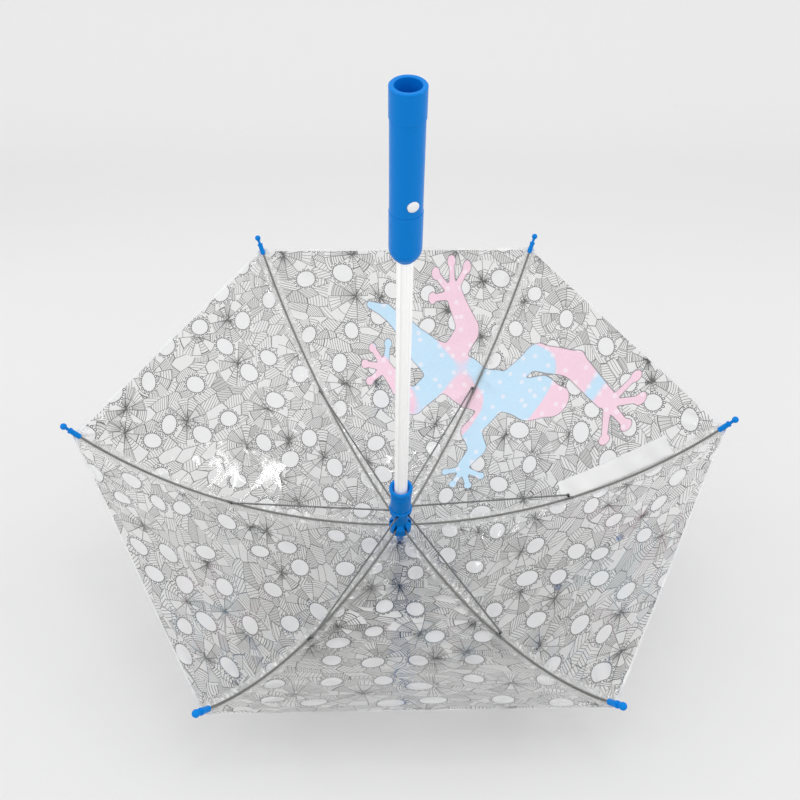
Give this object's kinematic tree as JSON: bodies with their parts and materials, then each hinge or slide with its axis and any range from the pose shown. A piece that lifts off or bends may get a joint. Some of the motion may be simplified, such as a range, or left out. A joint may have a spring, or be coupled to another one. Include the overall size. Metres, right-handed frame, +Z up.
{
  "type": "umbrella",
  "caption": "Child's clear dome stick umbrella, open, with folding wire ribs, a sliding runner, a clear light tube and a moulded grip with a push button.",
  "frame": {"origin": "on the floor under the middle of the open umbrella's box", "axes": "+Z up from the floor, the shaft leaning back over the bowl towards -Y, +X along the widest pair of ribs"},
  "size_m": [0.7078, 0.5538, 0.5577],
  "materials": {
    "clear_film": "clear soft film printed with grey line doodles",
    "blue_plastic": "glossy moulded blue",
    "clear_tube": "frosted clear tube with faint streaks",
    "light_guide": "clear rod",
    "rib_steel": "dark drawn wire",
    "bright_steel": "bright plated wire",
    "white_plastic": "glossy white",
    "dark_plastic": "moulded",
    "cell_steel": "plated can",
    "spring_brass": "plain",
    "board": "coated board",
    "label": "white woven tape, no lettering"
  },
  "bodies": {
    "stick": {"shaft_tube": "clear_tube", "light_guide": "light_guide", "crown": "blue_plastic", "crown_wire": "bright_steel", "canopy_patch": "clear_film", "canopy_washer": "blue_plastic", "ferrule": "blue_plastic", "handle_sleeve": "blue_plastic", "handle_body": "blue_plastic", "handle_collar": "blue_plastic", "battery_holder": "dark_plastic", "battery_cells": "cell_steel", "battery_spring": "spring_brass", "circuit_board": "board", "tact_switch": "dark_plastic", "led": "white_plastic", "led_holder": "white_plastic"},
    "runner_part": {"runner": "blue_plastic", "runner_wire": "bright_steel"},
    "button_part": {"push_button": "white_plastic"},
    "cap_part": {"battery_cap": "blue_plastic"},
    "rib_part_1": {"rib_1": "rib_steel", "rib_clip_1": "bright_steel", "rib_tip_1": "blue_plastic", "canopy_1": "clear_film", "care_label": "label", "canopy_snap": "blue_plastic"},
    "stretcher_part_1": {"stretcher_1": "bright_steel"},
    "rib_part_2": {"rib_2": "rib_steel", "rib_clip_2": "bright_steel", "rib_tip_2": "blue_plastic", "canopy_2": "clear_film"},
    "stretcher_part_2": {"stretcher_2": "bright_steel"},
    "rib_part_3": {"rib_3": "rib_steel", "rib_clip_3": "bright_steel", "rib_tip_3": "blue_plastic", "canopy_3": "clear_film"},
    "stretcher_part_3": {"stretcher_3": "bright_steel"},
    "rib_part_4": {"rib_4": "rib_steel", "rib_clip_4": "bright_steel", "rib_tip_4": "blue_plastic", "canopy_4": "clear_film"},
    "stretcher_part_4": {"stretcher_4": "bright_steel"},
    "rib_part_5": {"rib_5": "rib_steel", "rib_clip_5": "bright_steel", "rib_tip_5": "blue_plastic", "canopy_5": "clear_film"},
    "stretcher_part_5": {"stretcher_5": "bright_steel"},
    "rib_part_6": {"rib_6": "rib_steel", "rib_clip_6": "bright_steel", "rib_tip_6": "blue_plastic", "canopy_6": "clear_film", "closing_strap": "clear_film", "strap_snap": "blue_plastic"},
    "stretcher_part_6": {"stretcher_6": "bright_steel"}
  },
  "joints": [
    {"name": "runner_slide", "type": "slide", "parent": "stick", "child": "runner_part", "axis": [0, -0.4343, 0.9008], "range_m": [0, 0.329]},
    {"name": "rib_1_fold", "type": "hinge", "parent": "stick", "child": "rib_part_1", "pos_m": [0.0108, 0.08412, 0.03197], "axis": [0, -0.9008, -0.4343], "range_deg": [0, 57.87], "deforming": ["canopy_1", "care_label", "canopy_snap"]},
    {"name": "stretcher_1_fold", "type": "hinge", "parent": "runner_part", "child": "stretcher_part_1", "pos_m": [0.01065, 0.0714, 0.0647], "axis": [0, 0.9008, 0.4343], "range_deg": [0, 79.77]},
    {"name": "rib_2_fold", "type": "hinge", "parent": "stick", "child": "rib_part_2", "pos_m": [0.0054, 0.09255, 0.03603], "axis": [0.866, -0.4504, -0.2172], "range_deg": [0, 57.87], "deforming": ["canopy_2"]},
    {"name": "stretcher_2_fold", "type": "hinge", "parent": "runner_part", "child": "stretcher_part_2", "pos_m": [0.00294, 0.07847, 0.0681], "axis": [-0.866, 0.4504, 0.2172], "range_deg": [0, 79.77]},
    {"name": "rib_3_fold", "type": "hinge", "parent": "stick", "child": "rib_part_3", "pos_m": [-0.0054, 0.09255, 0.03603], "axis": [0.866, 0.4504, 0.2172], "range_deg": [0, 57.87], "deforming": ["canopy_3"]},
    {"name": "stretcher_3_fold", "type": "hinge", "parent": "runner_part", "child": "stretcher_part_3", "pos_m": [-0.00771, 0.07599, 0.06691], "axis": [-0.866, -0.4504, -0.2172], "range_deg": [0, 79.77]},
    {"name": "rib_4_fold", "type": "hinge", "parent": "stick", "child": "rib_part_4", "pos_m": [-0.0108, 0.08412, 0.03197], "axis": [0, 0.9008, 0.4343], "range_deg": [0, 57.87], "deforming": ["canopy_4"]},
    {"name": "stretcher_4_fold", "type": "hinge", "parent": "runner_part", "child": "stretcher_part_4", "pos_m": [-0.01065, 0.06644, 0.06231], "axis": [0, -0.9008, -0.4343], "range_deg": [0, 79.77]},
    {"name": "rib_5_fold", "type": "hinge", "parent": "stick", "child": "rib_part_5", "pos_m": [-0.0054, 0.07569, 0.02791], "axis": [-0.866, 0.4504, 0.2172], "range_deg": [0, 57.87], "deforming": ["canopy_5"]},
    {"name": "stretcher_5_fold", "type": "hinge", "parent": "runner_part", "child": "stretcher_part_5", "pos_m": [-0.00294, 0.05937, 0.0589], "axis": [0.866, -0.4504, -0.2172], "range_deg": [0, 79.77]},
    {"name": "rib_6_fold", "type": "hinge", "parent": "stick", "child": "rib_part_6", "pos_m": [0.0054, 0.07569, 0.02791], "axis": [-0.866, -0.4504, -0.2172], "range_deg": [0, 57.87], "deforming": ["canopy_6", "closing_strap", "strap_snap"]},
    {"name": "stretcher_6_fold", "type": "hinge", "parent": "runner_part", "child": "stretcher_part_6", "pos_m": [0.00771, 0.06185, 0.06009], "axis": [0.866, 0.4504, 0.2172], "range_deg": [0, 79.77]},
    {"name": "button_press", "type": "slide", "parent": "stick", "child": "button_part", "axis": [-0.3746, 0.8352, 0.4027], "range_m": [0, 0.001], "stiffness_N_per_m": 1500, "springref_m": -0.0007},
    {"name": "battery_cap_turn", "type": "hinge", "parent": "stick", "child": "cap_part", "pos_m": [0, -0.15887, 0.53595], "axis": [0, -0.4343, 0.9008], "range_deg": [0, 45]}
  ],
  "couplings": [
    {"joint": "rib_1_fold", "follows": "runner_slide", "rad_per_m": 3.0699},
    {"joint": "stretcher_1_fold", "follows": "runner_slide", "rad_per_m": 4.2319},
    {"joint": "rib_2_fold", "follows": "runner_slide", "rad_per_m": 3.0699},
    {"joint": "stretcher_2_fold", "follows": "runner_slide", "rad_per_m": 4.2319},
    {"joint": "rib_3_fold", "follows": "runner_slide", "rad_per_m": 3.0699},
    {"joint": "stretcher_3_fold", "follows": "runner_slide", "rad_per_m": 4.2319},
    {"joint": "rib_4_fold", "follows": "runner_slide", "rad_per_m": 3.0699},
    {"joint": "stretcher_4_fold", "follows": "runner_slide", "rad_per_m": 4.2319},
    {"joint": "rib_5_fold", "follows": "runner_slide", "rad_per_m": 3.0699},
    {"joint": "stretcher_5_fold", "follows": "runner_slide", "rad_per_m": 4.2319},
    {"joint": "rib_6_fold", "follows": "runner_slide", "rad_per_m": 3.0699},
    {"joint": "stretcher_6_fold", "follows": "runner_slide", "rad_per_m": 4.2319}
  ]
}
